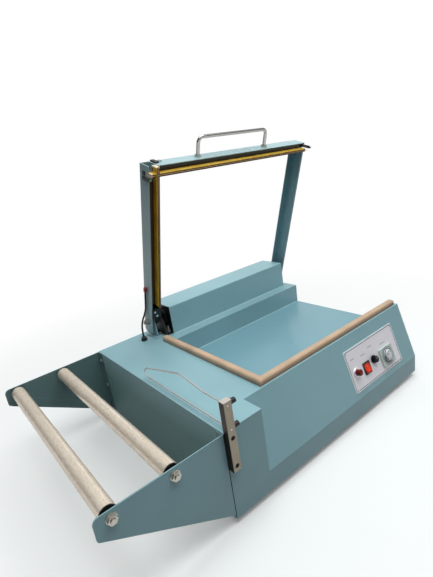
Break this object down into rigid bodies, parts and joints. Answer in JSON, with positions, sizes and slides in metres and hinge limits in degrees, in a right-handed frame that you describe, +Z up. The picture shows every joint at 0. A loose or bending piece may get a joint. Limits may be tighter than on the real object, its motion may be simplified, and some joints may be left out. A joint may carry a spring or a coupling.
{
  "type": "l bar sealer",
  "caption": "Table-top L-bar sealer: sunken work table, hinged L-shaped sealing frame with handle, film cradle with rollers, film guide and sloped control panel.",
  "frame": {"origin": "middle of the machine's bounding box, on the surface that the rubber feet stand on", "axes": "+Z up, the control slope faces -Y, +X runs along the front from the film cradle to the open end of the work table"},
  "size_m": [0.8378, 0.498, 0.6357],
  "materials": {
    "body_paint": "satin",
    "table_paint": "satin",
    "base_paint": "satin",
    "foot_rubber": "matte",
    "zinc": "satin",
    "black_plate": "satin",
    "pad_rubber": "matte",
    "panel_metal": "brushed",
    "bright_screw": "polished",
    "chrome_trim": "polished",
    "lamp_red": "polished",
    "black_plastic": "satin",
    "rocker_red": "gloss",
    "timer_plastic": "satin",
    "dial_plastic": "gloss",
    "stainless": "brushed",
    "black_screw": "satin",
    "stainless_rod": "polished",
    "roller_steel": "brushed",
    "black_iron": "satin",
    "bronze": "satin",
    "spring_steel": "satin",
    "shaft_steel": "ground",
    "seal_brass": "satin",
    "wire_steel": "satin",
    "cream_insulator": "matte",
    "black_steel": "satin",
    "boot_red": "satin",
    "lead_rubber": "satin"
  },
  "bodies": {
    "machine": {"main_casing": "body_paint", "work_table": "table_paint", "base_plate": "base_paint", "rubber_feet": "foot_rubber", "foot_screws": "zinc", "hinge_cover": "body_paint", "cover_end_plates": "black_plate", "left_pad": "pad_rubber", "front_pad": "pad_rubber", "control_plate": "panel_metal", "panel_screws": "bright_screw", "lamp_bezel": "chrome_trim", "lamp_lens": "lamp_red", "rocker_bezel": "black_plastic", "timer_housing": "timer_plastic", "guide_post": "stainless", "post_screws": "black_screw", "cradle_front_plate": "body_paint", "cradle_rear_plate": "body_paint", "cradle_screws": "bright_screw", "roller_axles": "zinc", "axle_nuts": "zinc", "left_bearing_block": "black_iron", "right_bearing_block": "black_iron", "bearing_bushes": "bronze", "block_bolts": "zinc", "hinge_bracket": "body_paint", "bracket_bolts": "zinc", "return_spring": "spring_steel", "lead_gland": "black_plastic", "arm_lead": "lead_rubber", "mains_inlet": "black_plastic"},
    "sealing_frame": {"hinge_shaft": "shaft_steel", "shaft_nuts": "zinc", "left_arm": "body_paint", "hinge_knuckle": "black_iron", "front_beam": "body_paint", "right_arm": "body_paint", "left_seal_bar": "seal_brass", "front_seal_bar": "seal_brass", "seal_wires": "wire_steel", "corner_caps": "cream_insulator", "bar_insulators": "cream_insulator", "corner_clamp": "black_plastic", "clamp_screws": "bright_screw", "pivot_block": "black_plastic", "handle": "chrome_trim", "handle_nuts": "zinc", "lead_boot": "boot_red"},
    "tension_lever": {"tension_lever": "black_steel"},
    "outer_roller": {"outer_roller": "roller_steel", "outer_roller_bearings": "black_plastic"},
    "inner_roller": {"inner_roller": "roller_steel", "inner_roller_bearings": "black_plastic"},
    "power_rocker": {"power_rocker": "rocker_red"},
    "time_knob": {"time_knob": "black_plastic"},
    "timer_dial": {"timer_dial": "dial_plastic"},
    "guide_wire": {"guide_wire": "stainless_rod"},
    "upper_thumb_screw": {"upper_thumb_screw": "black_plastic"},
    "lower_thumb_screw": {"lower_thumb_screw": "black_plastic"}
  },
  "joints": [
    {"name": "frame_hinge", "type": "hinge", "parent": "machine", "child": "sealing_frame", "pos_m": [0, 0.1963, 0.2243], "axis": [1, 0, 0], "range_deg": [0, 71], "stiffness_Nm_per_rad": 6, "springref_deg": -45.84},
    {"name": "tension_pivot", "type": "hinge", "parent": "sealing_frame", "child": "tension_lever", "pos_m": [0.39161, 0.05502, 0.58115], "axis": [0, 0.9455, 0.3256], "range_deg": [-8, 0], "stiffness_Nm_per_rad": 0.4, "springref_deg": 20.05},
    {"name": "outer_roller_spin", "type": "hinge", "parent": "machine", "child": "outer_roller", "pos_m": [-0.39439, 0, 0.168], "axis": [0, 1, 0], "continuous": true},
    {"name": "inner_roller_spin", "type": "hinge", "parent": "machine", "child": "inner_roller", "pos_m": [-0.29489, 0, 0.168], "axis": [0, 1, 0], "continuous": true},
    {"name": "rocker_tilt", "type": "hinge", "parent": "machine", "child": "power_rocker", "pos_m": [0.21411, -0.22198, 0.10035], "axis": [1, 0, 0], "range_deg": [0, 24]},
    {"name": "time_knob_turn", "type": "hinge", "parent": "machine", "child": "time_knob", "pos_m": [0.24361, -0.21953, 0.10744], "axis": [0, -0.9454, 0.3259], "range_deg": [-150, 150]},
    {"name": "timer_dial_turn", "type": "hinge", "parent": "machine", "child": "timer_dial", "pos_m": [0.29161, -0.22295, 0.09751], "axis": [0, -0.9454, 0.3259], "range_deg": [-150, 150]},
    {"name": "guide_slide", "type": "slide", "parent": "machine", "child": "guide_wire", "axis": [0, -1, 0], "range_m": [0, 0.036]},
    {"name": "upper_thumb_turn", "type": "hinge", "parent": "machine", "child": "upper_thumb_screw", "pos_m": [-0.19259, -0.243, 0.233], "axis": [-1, 0, 0], "range_deg": [0, 180]},
    {"name": "lower_thumb_turn", "type": "hinge", "parent": "machine", "child": "lower_thumb_screw", "pos_m": [-0.19259, -0.243, 0.1905], "axis": [-1, 0, 0], "range_deg": [0, 180]}
  ]
}
